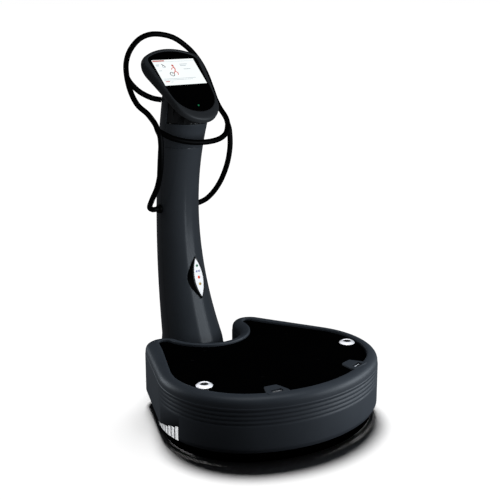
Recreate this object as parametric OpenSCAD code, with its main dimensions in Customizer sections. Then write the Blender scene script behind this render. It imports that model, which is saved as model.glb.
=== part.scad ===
// Vibration plate: a heavy base with a sprung platform that two counter-rotating
// motors shake up and down, a curved column, a tilted console and a hoop handle.
// Millimetres, +Z up, front towards -Y, origin on the floor under the middle.

/* [Platform] */
// Radius of the gently bowed front edge
front_r = 557; // [540:1:575]
// Radius of the two big front corners
corner_r = 312; // [300:1:325]
// Sideways place of the front corner arcs
corner_x = 127; // [115:1:135]
// Radius of the small rear lobes
lobe_r = 38; // [34:1:42]
// Sideways place of the rear lobes
lobe_x = 238; // [230:1:246]
// Radius of the rear notch around the column
notch_r = 202; // [198:1:206]
// Depth of the platform opening from notch centre to front
open_depth = 791; // [775:1:805]
// Height of the standing surface above the floor
deck_h = 272; // [268:1:276]

/* [Base] */
// Width of the moulded rim around the platform
rim_w = 47; // [42:1:50]
// Height of the rim's crown above the floor
crown_h = 281; // [279:1:286]
// Height of the shroud's lower edge above the floor
skirt_h = 55; // [53:1:60]
// Extra width of the rim beside the rear lobes
side_extra = 16; // [8:1:20]
// Depth of the four grooves around the front
groove_d = 3; // [1:0.5:4]

/* [Column] */
// Half width of the column at its waist
waist_h = 96; // [92:1:99]
// Height of the waist above the floor
waist_z = 890; // [870:5:910]
// Height at which the column leans back furthest
lean_z = 783; // [763:5:803]
// Rearward place of the column's middle at that height
lean_y = 434; // [430:1:437]

/* [Console] */
// Tilt of the screen face from horizontal, in degrees
face_tilt = 44.3; // [42:0.1:46]
// Height of the bottom edge of the screen
face_z = 1354.5; // [1350:0.5:1360]
// Rearward place of the bottom edge of the screen
face_y = 347.2; // [344:0.1:350]

/* [Handle] */
// Radius of the handle tube
tube_r = 12.5; // [11:0.5:13]

/* [Hidden] */
$fn = 64;

gap = 0.3;
wall = 3;
notch_y = 240;
arc_n = 10;

// Column foot: below this height the column stands almost straight
foot_z = 235;
cover_z0 = 63;
seam_z = 1090;
ring_z = 1194;
seam_angle = 88;

// Pod with the start and stop keys, low on the front of the column
pod_pos = [0, 279, 513];
pod_tilt = 74;
pod_len = 190;
pod_w = 60;
pod_base_w = 106;
fascia_len = 172;
fascia_w = 43;

// Console outlines: [bottom, top, bottom radius, top radius, corner radius, corner x]
bezel_shape = [-195, 209, 112, 250, 42, 112];
glass_shape = [-147, 193, 110, 240, 35, 92];
lcd_w = 224;
shell_drop = 20;
shell_slope = 0.1;
lcd_len = 150;
power_s = -115;

// Side outlets and front strap pockets, mirrored in X
outlet_pos = [384.5, -270];
outlet_r = 34;
turret_r = 17;
pocket_pos = [214, -503];
pocket_turn = 12;

// Undercarriage
rail_z0 = 14;
rail_z1 = 50;
plate_t = 11;
mat_t = 10.8;
frame_z1 = deck_h - mat_t - plate_t - 0.4;
frame_z0 = frame_z1 - 40;
feet = [[300, -380], [330, -60], [130, 440]];
posts = [[250, -400], [250, -10]];
grille_a0 = -5;
grille_a = 33;
grille_top = 118;
grille_slope = 16;
grille_cols = 8;
grille_step = 7;
grille_r = corner_r + rim_w - 5;
motor_z = frame_z0 - 73;
motor_y = [-290, -120];
motor_r = 58;
motor_len = 150;
shaft_r = 10;

// Handle: side path of the hoop from the top middle down to the column, right half
hoop_side = [
    [0, 585.5, 1560.5], [84, 569, 1545], [150, 549, 1500], [190, 524, 1446.5],
    [208.5, 492.5, 1388], [213, 458, 1327], [206.5, 418, 1276], [191.5, 367.5, 1242],
    [187.5, 319.5, 1205], [185.7, 303, 1178], [183.5, 288, 1149], [183.5, 284.5, 1082.5],
    [179.5, 298.5, 1007], [174, 333, 932], [170, 380, 872], [157, 422, 829], [132, 440, 812],
    [116, 440, 810], [104, 440, 810]];
cross_side = [[0, 212, 1124], [60, 219, 1127], [110, 238, 1136], [150, 265, 1151], [185.7, 303, 1178]];
rear_side = [[82, 425, 1290], [122, 441, 1300], [166, 462, 1326], [196, 480, 1360], [208.5, 492.5, 1388]];
collar_pos = [90.5, 440, 810];

// ---------- functions ----------
function dir(a) = [cos(a), sin(a)];
function angle_of(v) = atan2(v.y, v.x);
function reverse(v) = [for (i = [len(v) - 1:-1:0]) v[i]];
function cat(v) = [for (part = v) for (p = part) p];

// A run of [point, outward normal] pairs on an arc; side is 1 outside, -1 inside
function arc_run(c, r, a0, a1, n, side = 1) =
    [for (i = [0:n - 1]) let (a = a0 + (a1 - a0) * i / n) [c + r * dir(a), side * dir(a)]];

function mirrored(half) = cat([half, [for (p = reverse(half)) if (abs(p[0].x) > 0.01)
    [[-p[0].x, p[0].y], [-p[1].x, p[1].y]]]]);

// Angle of the outward normal of the straight line that touches two circles
function tangent_angle(c0, r0, c1, r1) =
    angle_of(c1 - c0) - acos((r0 - r1) / norm(c1 - c0));

// Opening of the rim, seen from above, anticlockwise from the front middle
function deck_outline(n = arc_n) =
    let (fc = [0, notch_y - open_depth + front_r],
         cc = [corner_x, fc.y - sqrt(pow(front_r - corner_r, 2) - pow(corner_x, 2))],
         nc = [0, notch_y],
         lc = [lobe_x, notch_y - sqrt(pow(notch_r + lobe_r, 2) - pow(lobe_x, 2))],
         turn = angle_of(cc - fc),
         side = tangent_angle(cc, corner_r, lc, lobe_r),
         last = [[0, notch_y - notch_r], [0, 1]])
    mirrored(cat([
        arc_run(fc, front_r, -90, turn, n / 2),
        arc_run(cc, corner_r, turn, side, n),
        arc_run(lc, lobe_r, side, angle_of(nc - lc), n),
        arc_run(nc, notch_r, angle_of(lc - nc), -90, n, -1),
        [last]]));

// Console outline in the plane of its face, anticlockwise from the bottom middle
function shield(s, n = arc_n) =
    let (bc = [0, s[0] + s[2]],
         tc = [0, s[1] - s[3]],
         cc = [s[5], tc.y + sqrt(pow(s[3] - s[4], 2) - pow(s[5], 2))],
         side = tangent_angle(bc, s[2], cc, s[4]))
    mirrored(cat([
        arc_run(bc, s[2], -90, side, n),
        arc_run(cc, s[4], side, angle_of(cc - tc), n),
        arc_run(tc, s[3], angle_of(cc - tc), 90, n / 2),
        [[[0, s[1]], [0, 1]]]]));

function offset_points(run, off) = [for (p = run) p[0] + off * p[1]];

// Middle and half width of the column at a height
function column_y(z) =
    z < foot_z ? column_y(foot_z) - (foot_z - z) * 0.08
    : lean_y - (z < lean_z ? 0.00032 : 0.00034) * pow(z - lean_z, 2);
function column_h(z) = waist_h + 0.0001 * pow(z - waist_z, 2);
function column_point(z, a, inset) =
    [(0.92 * column_h(z) - inset) * sin(a), column_y(z) - (1.09 * column_h(z) - inset) * cos(a), z];

// Open C-shaped section of a cover between two angles from the front
function cover_ring(z, a0, a1, inset, t, n) =
    cat([[for (i = [0:n]) column_point(z, a0 + (a1 - a0) * i / n, inset)],
         [for (i = [n:-1:0]) column_point(z, a0 + (a1 - a0) * i / n, inset + t)]]);

// Catmull-Rom spline through points
function spline_at(p, i, t) =
    let (a = p[max(i - 1, 0)], b = p[i], c = p[i + 1], d = p[min(i + 2, len(p) - 1)])
    0.5 * (2 * b + (c - a) * t + (2 * a - 5 * b + 4 * c - d) * t * t
           + (3 * b - a - 3 * c + d) * t * t * t);
function spline(p, n) =
    cat([[for (i = [0:len(p) - 2]) for (k = [0:n - 1]) spline_at(p, i, k / n)], [p[len(p) - 1]]]);
function unit(v) = v / norm(v);
function tube_ring(p, t, r, n) =
    let (u = unit(cross(t, [0, 0.6, 0.8])), w = cross(t, u))
    [for (i = [0:n - 1]) p + r * (cos(360 * i / n) * u + sin(360 * i / n) * w)];
function both_sides(half) =
    cat([[for (i = [len(half) - 1:-1:1]) [-half[i].x, half[i].y, half[i].z]], half]);

// ---------- shape helpers ----------
// Solid through equal closed rings; loop joins the last ring to the first, and
// strip closes the ends of a C-shaped section with a strip of small faces
module skin(rings, loop = false, strip = false) {
    n = len(rings[0]);
    m = len(rings);
    steps = loop ? m : m - 1;
    side = [for (j = [0:steps - 1]) for (i = [0:n - 1])
        let (a = j * n + i, b = j * n + (i + 1) % n,
             c = ((j + 1) % m) * n + (i + 1) % n, d = ((j + 1) % m) * n + i)
        each [[a, d, c], [a, c, b]]];
    one_end = strip ? [for (i = [0:n / 2 - 2]) [i, i + 1, n - 2 - i, n - 1 - i]]
                    : [[for (i = [0:n - 1]) i]];
    far_end = [for (f = one_end) [for (i = reverse(f)) (m - 1) * n + i]];
    polyhedron(points = cat(rings), faces = concat(side, loop ? [] : one_end, loop ? [] : far_end));
}

module tube(path, r, n = 10) {
    last = len(path) - 1;
    skin([for (i = [0:last])
        tube_ring(path[i], unit(path[min(i + 1, last)] - path[max(i - 1, 0)]), r, n)]);
}

module block(x0, x1, y0, y1, z0, z1) {
    translate([x0, y0, z0]) cube([x1 - x0, y1 - y0, z1 - z0]);
}

module rod(r, z0, z1) {
    translate([0, 0, z0]) cylinder(r = r, h = z1 - z0);
}

module deck_slab(off, z0, z1) {
    translate([0, 0, z0]) linear_extrude(z1 - z0)
        polygon([for (p = deck_outline()) p[0] + (off - (off < 0 ? side_in(p) : 0)) * p[1]]);
}

module both() {
    children();
    mirror([1, 0, 0]) children();
}

module on_face() {
    translate([0, face_y, face_z]) rotate([face_tilt, 0, 0]) children();
}

// Frame of the console's slanting back, which the neck meets
module on_back() {
    on_face() translate([0, bezel_shape[0], -shell_drop - 9]) rotate([-atan(shell_slope), 0, 0])
        children();
}

module on_pod() {
    translate(pod_pos) rotate([pod_tilt, 0, 0]) children();
}

module lens(length, width) {
    r = (pow(length, 2) + pow(width, 2)) / (4 * width);
    intersection() {
        translate([r - width / 2, 0]) circle(r);
        translate([width / 2 - r, 0]) circle(r);
    }
}

module cover(z0, z1, a0, a1, inset = 0, rows = 16, n = 12) {
    skin([for (j = [0:rows]) cover_ring(z0 + (z1 - z0) * j / rows, a0, a1, inset, wall, n)],
         strip = true);
}

module below_console() {
    difference() {
        children();
        on_back() translate([-200, -200, 0]) cube([400, 700, 400]);
    }
}

// ---------- base ----------
module base_frame() {
    color("dimgray") {
        both() block(105, 155, -440, 490, rail_z0, rail_z1);
        for (y = [-400, -240, -60]) block(-345, 345, y, y + 50, rail_z0, rail_z1);
        block(-155, 155, 130, 180, rail_z0, rail_z1);
        block(-155, 155, 440, 490, rail_z0, rail_z1);
        block(-110, 110, 250, 470, rail_z1 - 6, rail_z1);
        both() for (p = feet) translate(p) rod(30, rail_z0, rail_z0 + 20);
    }
}

module foot_studs() {
    color("silver") both() for (p = feet) translate(p) rod(6, 9, rail_z0 - gap);
}

module foot_nuts() {
    color("silver") both() for (p = feet) translate(p)
        difference() {
            translate([0, 0, 9.4]) cylinder(r = 11, h = 4, $fn = 6);
            rod(6.2, 9, 14);
        }
}

module foot_pads() {
    color("black") both() for (p = feet) translate(p) rotate_extrude()
        polygon([[0, 0], [27, 0], [30, 3], [30, 6], [26, 8.8], [0, 8.8]]);
}

module plinth_skirt() {
    color("black") difference() {
        deck_slab(22, 10, skirt_h + 12);
        deck_slab(19, 9, skirt_h + 13);
        plinth_cuts();
    }
}

module plinth_cuts() {
    block(-346, 346, -401, -9, 9, rail_z1 + 1);
    both() block(104, 156, -441, 300, 9, rail_z1 + 1);
    both() for (p = feet) translate(p) rod(31, 9, rail_z1 + 1);
}

// Shroud section as [outward offset, height], outside first, then back inside
groove_z = [for (i = [0:3]) crown_h - 59 - i * 17.3];
function groove_points(z) = [[rim_w, z - 5, 0], [rim_w, z - 2, 1], [rim_w, z + 2, 1], [rim_w, z + 5, 0]];
shroud_section = cat([
    [[rim_w - 6, skirt_h, 0], [rim_w, skirt_h + 16, 0]],
    cat([for (z = reverse(groove_z)) groove_points(z)]),
    [[rim_w, crown_h - 46, 0], [rim_w - 1, crown_h - 44, 0], [rim_w - 2, crown_h - 27, 0],
     [rim_w - 6, crown_h - 17, 0], [rim_w - 13, crown_h - 9, 0], [rim_w - 22, crown_h - 4, 0],
     [rim_w - 33, crown_h - 1, 0], [5, crown_h, 0], [1, crown_h - 2, 0], [0, crown_h - 6, 0],
     [0, crown_h - 24, 0], [wall, crown_h - 24, 0], [wall, crown_h - 6, 0],
     [rim_w - 33, crown_h - 5, 0], [rim_w - 15, crown_h - 13, 0], [rim_w - 7, crown_h - 30, 0],
     [rim_w - 5, skirt_h + 16, 0], [rim_w - 6 - wall, skirt_h, 0]]]);

// Grooves run around the front and die out towards the rear
function groove_fade(p) = max(0, min(1, (-60 - p.y) / 160));

// The rim is wider beside the rear lobes: its inner edge moves in by this much
function side_in(p) =
    side_extra * max(0, sign(p[0].x) * p[1].x) * max(0, min(1, (p[0].y + 150) / 300));

module base_shroud() {
    color([0.16, 0.17, 0.20]) difference() {
        skin([for (p = deck_outline())
            [for (q = reverse(shroud_section))
                let (xy = p[0] + (q[0] - q[2] * groove_d * groove_fade(p[0])
                                  - side_in(p) * max(0, 1 - q[0] / 36)) * p[1])
                [xy.x, xy.y, q[1]]]], loop = true);
        both() grille_wedge(grille_r - 12, grille_r + 12, skirt_h - 5, 1);
        both() pocket_place() translate([0, 0, -40]) linear_extrude(60) pocket_shape(gap);
    }
}

// Vent grilles low on the front corners of the shroud: wedges that taper rearwards
module on_corner() {
    fc_y = notch_y - open_depth + front_r;
    translate([corner_x, fc_y - sqrt(pow(front_r - corner_r, 2) - pow(corner_x, 2)), 0])
        rotate([0, 0, grille_a0]) children();
}

module grille_wedge(r0, r1, z0, extra = 0) {
    on_corner() difference() {
        rotate([0, 0, -extra / 6]) rotate_extrude(angle = grille_a + extra / 3)
            translate([r0, z0]) square([r1 - r0, grille_top - z0 + extra]);
        translate([corner_r + rim_w, -20, grille_top + extra]) rotate([0, 0, 90])
            translate([20, 0, 0]) rotate([0, grille_slope, 0]) translate([-60, -40, 0])
                cube([320, 160, 90]);
    }
}

module vent_grille() {
    color("white") difference() {
        grille_wedge(grille_r, grille_r + 2.5, skirt_h + 2);
        for (i = [0:grille_cols - 1]) on_corner()
            rotate([0, 0, (i + 0.14) * grille_a / grille_cols + 0.2])
                rotate_extrude(angle = grille_a / grille_cols * 0.76)
                    for (z = [skirt_h + 4:7:grille_top - 9 - i * grille_step])
                        translate([grille_r - 2, z]) square([8, 5]);
    }
}

module isolator_posts() {
    color("dimgray") both() for (p = posts) translate(p) rod(24, rail_z1 + gap, frame_z0 - 50);
}

module isolator_rubbers() {
    color("black") both() for (p = posts) translate([p.x, p.y, 0])
        rod(22, frame_z0 - 50 + gap, frame_z0 - gap);
}

module drive_box() {
    color("gray") {
        block(-330, -190, -330, -130, rail_z1 + gap, 150);
        for (i = [0:5]) block(-325 + i * 24, -320 + i * 24, -325, -135, 150, 162);
    }
}

// ---------- column ----------
module mast() {
    color("dimgray") {
        difference() {
            block(-40, 40, 361, 451, rail_z1 + gap, 1180);
            block(-36, 36, 365, 447, rail_z1 - 1, 1181);
        }
        difference() {
            block(-100, 100, 330, 465, rail_z1 + gap, 62);
            block(-36, 36, 365, 447, rail_z1 - 1, 63);
            both() for (y = [345, 415]) translate([72, y, 0]) rod(6.5, rail_z1 - 1, 63);
        }
        both() block(39, 83, 430, 450, 800, 820);
    }
}

module mast_bolts() {
    color("silver") both() for (y = [345, 415]) translate([72, y, 0]) {
        rod(6, rail_z1 + 0.1, 62 + gap);
        translate([0, 0, 62 + gap]) cylinder(r = 10, h = 7, $fn = 6);
    }
}

module column_front_cover() {
    color([0.10, 0.11, 0.12]) difference() {
        cover(cover_z0, seam_z - gap, -seam_angle + 0.2, seam_angle - 0.2, rows = 24, n = 14);
        on_pod() pod_body(2 * gap);
    }
}

module column_top_cover() {
    color([0.10, 0.11, 0.12])
        cover(seam_z + gap, ring_z - gap, -seam_angle + 0.2, seam_angle - 0.2, rows = 4, n = 14);
}

module column_rear_cover() {
    color([0.09, 0.10, 0.11]) difference() {
        below_console()
            cover(cover_z0, 1420, seam_angle + 0.2, 360 - seam_angle - 0.2, rows = 26, n = 14);
        inlet_place() translate([-37, -28, -40]) cube([74, 56, 80]);
    }
}

module neck_ring() {
    color("black") below_console()
        cover(ring_z + gap, 1300, -seam_angle + 0.4, seam_angle - 0.4, inset = 5, rows = 4, n = 14);
}

// ---------- start and stop pod ----------
function lens_ring(length, width, z, n = 12) =
    let (r = (pow(length, 2) + pow(width, 2)) / (4 * width), a = asin(length / 2 / r))
    [for (s = [1, -1]) for (i = [0:n - 1]) let (t = a * (2 * i / n - 1))
        [s * (width / 2 - r + r * cos(t)), s * r * sin(t), z]];

// Boat-shaped body whose sides flare out towards the column
module pod_body(extra = 0) {
    skin([lens_ring(pod_len + extra, pod_base_w + extra, -44),
          lens_ring(pod_len + extra, pod_base_w + extra, -34),
          lens_ring(pod_len + extra, pod_w + extra, extra)]);
}

module pod_housing() {
    color("black") on_pod() difference() {
        pod_body();
        translate([0, 0, -36]) linear_extrude(40) lens(fascia_len + 0.6, fascia_w + 0.6);
    }
}

keys = [
    // name, x, place along the pod, radius, colour
    ["button_start", 0, 53, 5.5, "green"],
    ["button_up", 6.5, 28, 4.5, "slateblue"],
    ["button_down", -6.5, 28, 4.5, "mediumslateblue"],
    ["button_stop", 0, 1, 6.5, "red"],
    ["button_repeat", 0, -29, 6, "olive"]];

module pod_fascia() {
    color("white") on_pod() difference() {
        translate([0, 0, -3]) linear_extrude(2.6) lens(fascia_len, fascia_w);
        for (k = keys) translate([k[1], k[2], 0]) rod(k[3] + 0.06, -4, 1);
    }
}

module pod_board() {
    color("darkgreen") on_pod() translate([0, 0, -14]) linear_extrude(1.6)
        lens(fascia_len - 6, fascia_w - 4);
}

module key(k) {
    color(k[4]) on_pod() translate([k[1], k[2], 0]) rotate_extrude()
        polygon([[0, -11], [k[3], -11], [k[3], 0.6], [k[3] - 0.8, 1.4], [0, 1.8]]);
}

// ---------- console ----------
module console_bracket() {
    color("dimgray") below_console() {
        block(-35, 35, 375, 438, 1180 + gap, 1340);
        on_back() translate([-60, 120, -6]) cube([120, 88, 5.5]);
    }
}

function shell_ring(t, k, inset) =
    [for (p = shield(bezel_shape))
        let (q = p[0] - inset * p[1], y = (1 - k) * bezel_shape[0] * 0.6 + k * q.y)
        [k * q.x, y, -shell_drop - 0.2 - t * (8 + shell_slope * (y - bezel_shape[0]))]];

module console_shell() {
    color([0.14, 0.15, 0.16]) on_face() difference() {
        skin(reverse([for (t = [[0, 1], [0.5, 0.965], [0.85, 0.9], [1, 0.85]])
            shell_ring(t[0], t[1], 0)]));
        skin(reverse([for (t = [[-0.2, 1], [0.4, 0.965], [0.7, 0.9], [0.8, 0.85]])
            shell_ring(t[0], t[1], wall)]));
    }
}

// Bezel section as [share of the way from outer to inner outline, height]
bezel_section = [
    [0, -shell_drop], [0, -8], [0.12, -1.5], [0.35, 3], [0.85, 3], [0.96, 1], [0.96, -6],
    [0.8, -6], [0.42, -1.5], [0.26, -6], [0.15, -10], [0.15, -shell_drop]];

module console_bezel() {
    outer = shield(bezel_shape);
    inner = shield(glass_shape);
    color([0.20, 0.21, 0.22]) on_face() skin([for (i = [0:len(outer) - 1])
        let (p = outer[i][0], q = inner[i][0])
        reverse([for (s = bezel_section) let (xy = p + (q - p) * s[0]) [xy.x, xy.y, s[1]]])],
        loop = true);
}

module console_glass() {
    color("black") on_face() difference() {
        translate([0, 0, -3]) linear_extrude(3) polygon(offset_points(shield(glass_shape), 0.2));
        translate([0, power_s, 0]) rod(4.06, -4, 1);
        translate([-lcd_w / 2 + 4, 4, -1.2]) cube([lcd_w - 8, lcd_len - 8, 3]);
    }
}

module lcd_panel() {
    color("white") on_face() translate([-lcd_w / 2, 0, -12]) cube([lcd_w, lcd_len, 8.7]);
}

module console_board() {
    color("darkgreen") on_face() translate([-80, -90, -18]) cube([160, 80, 1.6]);
}

module power_button() {
    color("green") on_face() translate([0, power_s, 0]) rod(4, -9, 0.8);
}

// ---------- handle ----------
module handle_hoop() {
    color([0.05, 0.05, 0.05]) tube(spline(both_sides(hoop_side), 3), tube_r);
}

module handle_crossbar() {
    color([0.05, 0.05, 0.05]) difference() {
        tube(spline(both_sides(cross_side), 4), tube_r);
        tube(spline(both_sides(hoop_side), 3), tube_r + 3 * gap);
    }
}

module handle_rear_bars() {
    color([0.05, 0.05, 0.05]) both() difference() {
        tube(spline(rear_side, 4), tube_r);
        tube(spline(hoop_side, 3), tube_r + 3 * gap);
    }
}

module handle_collars() {
    color("black") both() translate(collar_pos) rotate([0, 90, 0])
        cylinder(r = 20, h = 13);
}

// ---------- mains ----------
module inlet_place() {
    translate([0, 504, 120]) rotate([90, 0, 180]) children();
}

module mains_inlet() {
    color("black") inlet_place() difference() {
        union() {
            translate([-36, -27, -23]) cube([72, 54, 23]);
            translate([-42, -33, 6]) cube([84, 66, 3]);
            translate([-36, -27, -1]) cube([72, 54, 8]);
        }
        translate([-30, -12, -14]) cube([28, 24, 40]);
        translate([7, -12, -14]) cube([22, 24, 40]);
    }
}

module mains_switch() {
    color("red") inlet_place() translate([18, 0, 5]) rotate([0, 90, 0])
        difference() {
            translate([0, 0, -10.7]) intersection() {
                cylinder(r = 11.6, h = 21.4);
                translate([-7, -12, -1]) cube([14, 24, 24]);
            }
            translate([0, 0, -12]) cylinder(r = 1.5, h = 24);
        }
}

// ---------- platform ----------
module platform_frame() {
    color("dimgray") {
        both() block(130, 170, -430, 60, frame_z0, frame_z1);
        for (y = [-420, -30]) block(-300, 300, y, y + 40, frame_z0, frame_z1);
        for (y = motor_y) block(-131, 131, y - 30, y + 30, frame_z0, frame_z1);
    }
}

module platform_plate() {
    color("silver") difference() {
        deck_slab(-5, frame_z1 + 0.1, frame_z1 + 0.1 + plate_t);
        outlet_holes();
    }
}

module platform_mat() {
    color([0.03, 0.03, 0.03]) difference() {
        deck_slab(-5, deck_h - mat_t, deck_h);
        outlet_holes();
        both() for (p = screw_places) translate(p) rod(9, deck_h - 3, deck_h + 1);
        both() pocket_place() translate([0, 0, -40]) linear_extrude(60) pocket_shape(1);
    }
}

module outlet_holes() {
    both() translate(outlet_pos) rod(28, frame_z1 - 10, deck_h + 1);
}

screw_places = [[150, -340], [150, 40], [260, -20]];

module deck_screws() {
    color("silver") both() for (p = screw_places) translate(p) rod(8, deck_h - 2.9, deck_h - 0.4);
}

module outlet_bezel() {
    color("white") translate([outlet_pos.x, outlet_pos.y, deck_h]) rotate_extrude()
        polygon([[turret_r + 0.05, -18], [27.5, -18], [27.5, 0.2], [outlet_r, 0.2],
                 [outlet_r - 1, 2.5], [outlet_r - 5, 6], [25, 8.6], [20.5, 9.6],
                 [turret_r + 0.05, 8]]);
}

module outlet_turret() {
    color([0.08, 0.08, 0.08]) translate([outlet_pos.x, outlet_pos.y, deck_h]) difference() {
        union() {
            rotate_extrude() polygon([[0, -20], [turret_r - 0.03, -20], [turret_r - 0.03, 7],
                                      [turret_r - 2, 8.5], [0, 8.5]]);
            rotate_extrude() translate([turret_r - 1, -22]) square([4, 3.7]);
        }
        block(-3.6, 3.6, -12.5, 12.5, -6, 12);
    }
}

// Strap pockets: tongues of the front rim, each with a slot over a strap staple
module pocket_place() {
    translate([pocket_pos.x, pocket_pos.y, crown_h]) rotate([0, 0, pocket_turn]) children();
}

module pocket_shape(extra = 0) {
    polygon([[-47 - extra, -16 - extra], [47 + extra, -16 - extra], [47 + extra, 0],
             [27 + extra, 60 + extra], [-27 - extra, 60 + extra], [-47 - extra, 0]]);
}

module strap_pocket() {
    color([0.16, 0.17, 0.20]) pocket_place() difference() {
        translate([0, 0, -8]) linear_extrude(8.5) pocket_shape();
        block(-24, 24, -9, 17, -20, 8);
    }
}

// Steel staple on the platform plate that a strap hooks onto, seen through the slot
module strap_staple() {
    color("silver") pocket_place() translate([0, 8, -6]) {
        rotate([0, 90, 0]) translate([0, 0, -20]) cylinder(r = 3.4, h = 40);
        for (x = [-20, 20]) translate([x, 0, 0]) {
            sphere(r = 3.4);
            rod(3.4, deck_h - mat_t - crown_h + 6.2, 0);
        }
    }
}

// ---------- vibration motors ----------
module motor(y) {
    color("steelblue") difference() {
        union() {
            translate([-motor_len / 2, y, motor_z]) rotate([0, 90, 0])
                cylinder(r = motor_r, h = motor_len);
            block(-60, 60, y - 60, y + 60, frame_z0 - 14, frame_z0 - gap);
            block(-50, 50, y - 30, y + 30, motor_z + 40, frame_z0 - 13);
        }
        translate([-90, y, motor_z]) rotate([0, 90, 0]) cylinder(r = shaft_r + 0.05, h = 180);
    }
}

module motor_caps(y) {
    color("gray") both() translate([motor_len / 2 + gap, y, motor_z]) rotate([0, 90, 0])
        difference() {
            cylinder(r = motor_r, h = 50);
            translate([0, 0, -1]) cylinder(r = motor_r - 5, h = 47);
        }
}

module rotor(y) {
    color("silver") {
        translate([-115, y, motor_z]) rotate([0, 90, 0]) cylinder(r = shaft_r, h = 230);
        both() translate([82, y, motor_z]) rotate([0, 90, 0]) difference() {
            cylinder(r = 46, h = 30);
            translate([-50, -50, -1]) cube([50, 100, 40]);
        }
    }
}

base_frame();
foot_studs();
foot_nuts();
foot_pads();
plinth_skirt();
base_shroud();
mirror([1, 0, 0]) vent_grille();  // vent_grille_left
vent_grille();  // vent_grille_right
isolator_posts();
isolator_rubbers();
drive_box();
mast();
mast_bolts();
column_front_cover();
column_top_cover();
column_rear_cover();
neck_ring();
pod_housing();
pod_fascia();
pod_board();
key(keys[0]);  // button_start
key(keys[1]);  // button_up
key(keys[2]);  // button_down
key(keys[3]);  // button_stop
key(keys[4]);  // button_repeat
console_bracket();
console_shell();
console_bezel();
console_glass();
lcd_panel();
console_board();
power_button();
handle_hoop();
handle_crossbar();
handle_rear_bars();
handle_collars();
mains_inlet();
mains_switch();
platform_frame();
platform_plate();
platform_mat();
deck_screws();
mirror([1, 0, 0]) outlet_bezel();  // outlet_bezel_left
outlet_bezel();  // outlet_bezel_right
mirror([1, 0, 0]) outlet_turret();  // outlet_turret_left
outlet_turret();  // outlet_turret_right
mirror([1, 0, 0]) strap_pocket();  // strap_pocket_left
strap_pocket();  // strap_pocket_right
mirror([1, 0, 0]) strap_staple();  // strap_staple_left
strap_staple();  // strap_staple_right
motor(motor_y[0]);  // motor_front
motor(motor_y[1]);  // motor_rear
motor_caps(motor_y[0]);  // motor_caps_front
motor_caps(motor_y[1]);  // motor_caps_rear
rotor(motor_y[0]);  // rotor_front
rotor(motor_y[1]);  // rotor_rear
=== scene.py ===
"""Looks for the vibration plate: smooth shells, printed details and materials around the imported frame."""
from math import acos, atan2, cos, degrees, pi, radians, sin, sqrt

import bmesh
import bpy
from mathutils import Matrix, Vector


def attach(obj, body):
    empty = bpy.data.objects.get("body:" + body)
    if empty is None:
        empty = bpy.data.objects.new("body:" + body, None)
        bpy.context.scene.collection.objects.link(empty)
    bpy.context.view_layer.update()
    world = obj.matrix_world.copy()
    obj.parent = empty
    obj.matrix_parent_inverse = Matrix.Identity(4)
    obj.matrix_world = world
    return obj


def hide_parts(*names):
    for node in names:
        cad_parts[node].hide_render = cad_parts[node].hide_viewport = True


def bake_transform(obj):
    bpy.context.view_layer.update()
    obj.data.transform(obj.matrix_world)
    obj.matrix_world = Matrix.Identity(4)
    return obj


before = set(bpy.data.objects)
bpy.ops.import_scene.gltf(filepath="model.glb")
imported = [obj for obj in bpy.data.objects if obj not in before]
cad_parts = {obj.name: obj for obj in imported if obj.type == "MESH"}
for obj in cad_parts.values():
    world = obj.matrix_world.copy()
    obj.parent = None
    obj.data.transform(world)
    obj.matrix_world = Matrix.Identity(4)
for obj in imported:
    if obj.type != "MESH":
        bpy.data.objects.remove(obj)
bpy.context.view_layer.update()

MM = 0.001

# ---------------------------------------------------------------- camera
FOCAL_PX = 981.2
CAMERA_PLACE = (-2.4816, -3.1026, 1.7164)
CAMERA_TURN = -39.368
CAMERA_DIP = 14.436
IMAGE_PX = 500
SENSOR_MM = 36.0

camera_data = bpy.data.cameras.new("camera")
camera_data.sensor_width = SENSOR_MM
camera_data.lens = FOCAL_PX / IMAGE_PX * SENSOR_MM
camera = bpy.data.objects.new("camera", camera_data)
camera.location = CAMERA_PLACE
camera.rotation_euler = (radians(90 - CAMERA_DIP), 0, radians(CAMERA_TURN))
bpy.context.scene.collection.objects.link(camera)
bpy.context.scene.camera = camera

# ---------------------------------------------------------------- driving sizes, in millimetres
FRONT_R, CORNER_R, CORNER_X = 557, 312, 127
LOBE_R, LOBE_X, NOTCH_R, OPEN_DEPTH, NOTCH_Y = 38, 238, 202, 791, 240
DECK_H, RIM_W, CROWN_H, SKIRT_H, GROOVE_D, SIDE_EXTRA = 272, 47, 281, 55, 3.2, 16
WAIST_H, WAIST_Z, LEAN_Z, LEAN_Y, FOOT_Z = 96, 890, 783, 434, 235
COVER_Z0, SEAM_Z, RING_Z, SEAM_ANGLE = 63, 1090, 1194, 88
FACE_TILT, FACE_Y, FACE_Z = 44.3, 347.2, 1354.5
BEZEL = (-195, 209, 112, 250, 42, 112)
GLASS = (-147, 193, 110, 240, 35, 92)
SHELL_DROP, SHELL_SLOPE = 20, 0.1
LCD_W, LCD_LEN, POWER_S = 224, 150, -115
POD_PLACE, POD_TILT = (0, 279, 513), 74
POD_LEN, POD_W, POD_BASE_W, FASCIA_LEN, FASCIA_W = 190, 60, 106, 172, 43
OUTLET_PLACE, OUTLET_R, TURRET_R = (384.5, -270), 34, 17
POCKET_PLACE, POCKET_TURN = (214, -503), 12
GRILLE_TURN, GRILLE_SPAN, GRILLE_TOP, GRILLE_SLOPE, GRILLE_COLUMNS = -5, 33, 118, 16, 8
TUBE_R = 12.0

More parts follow.
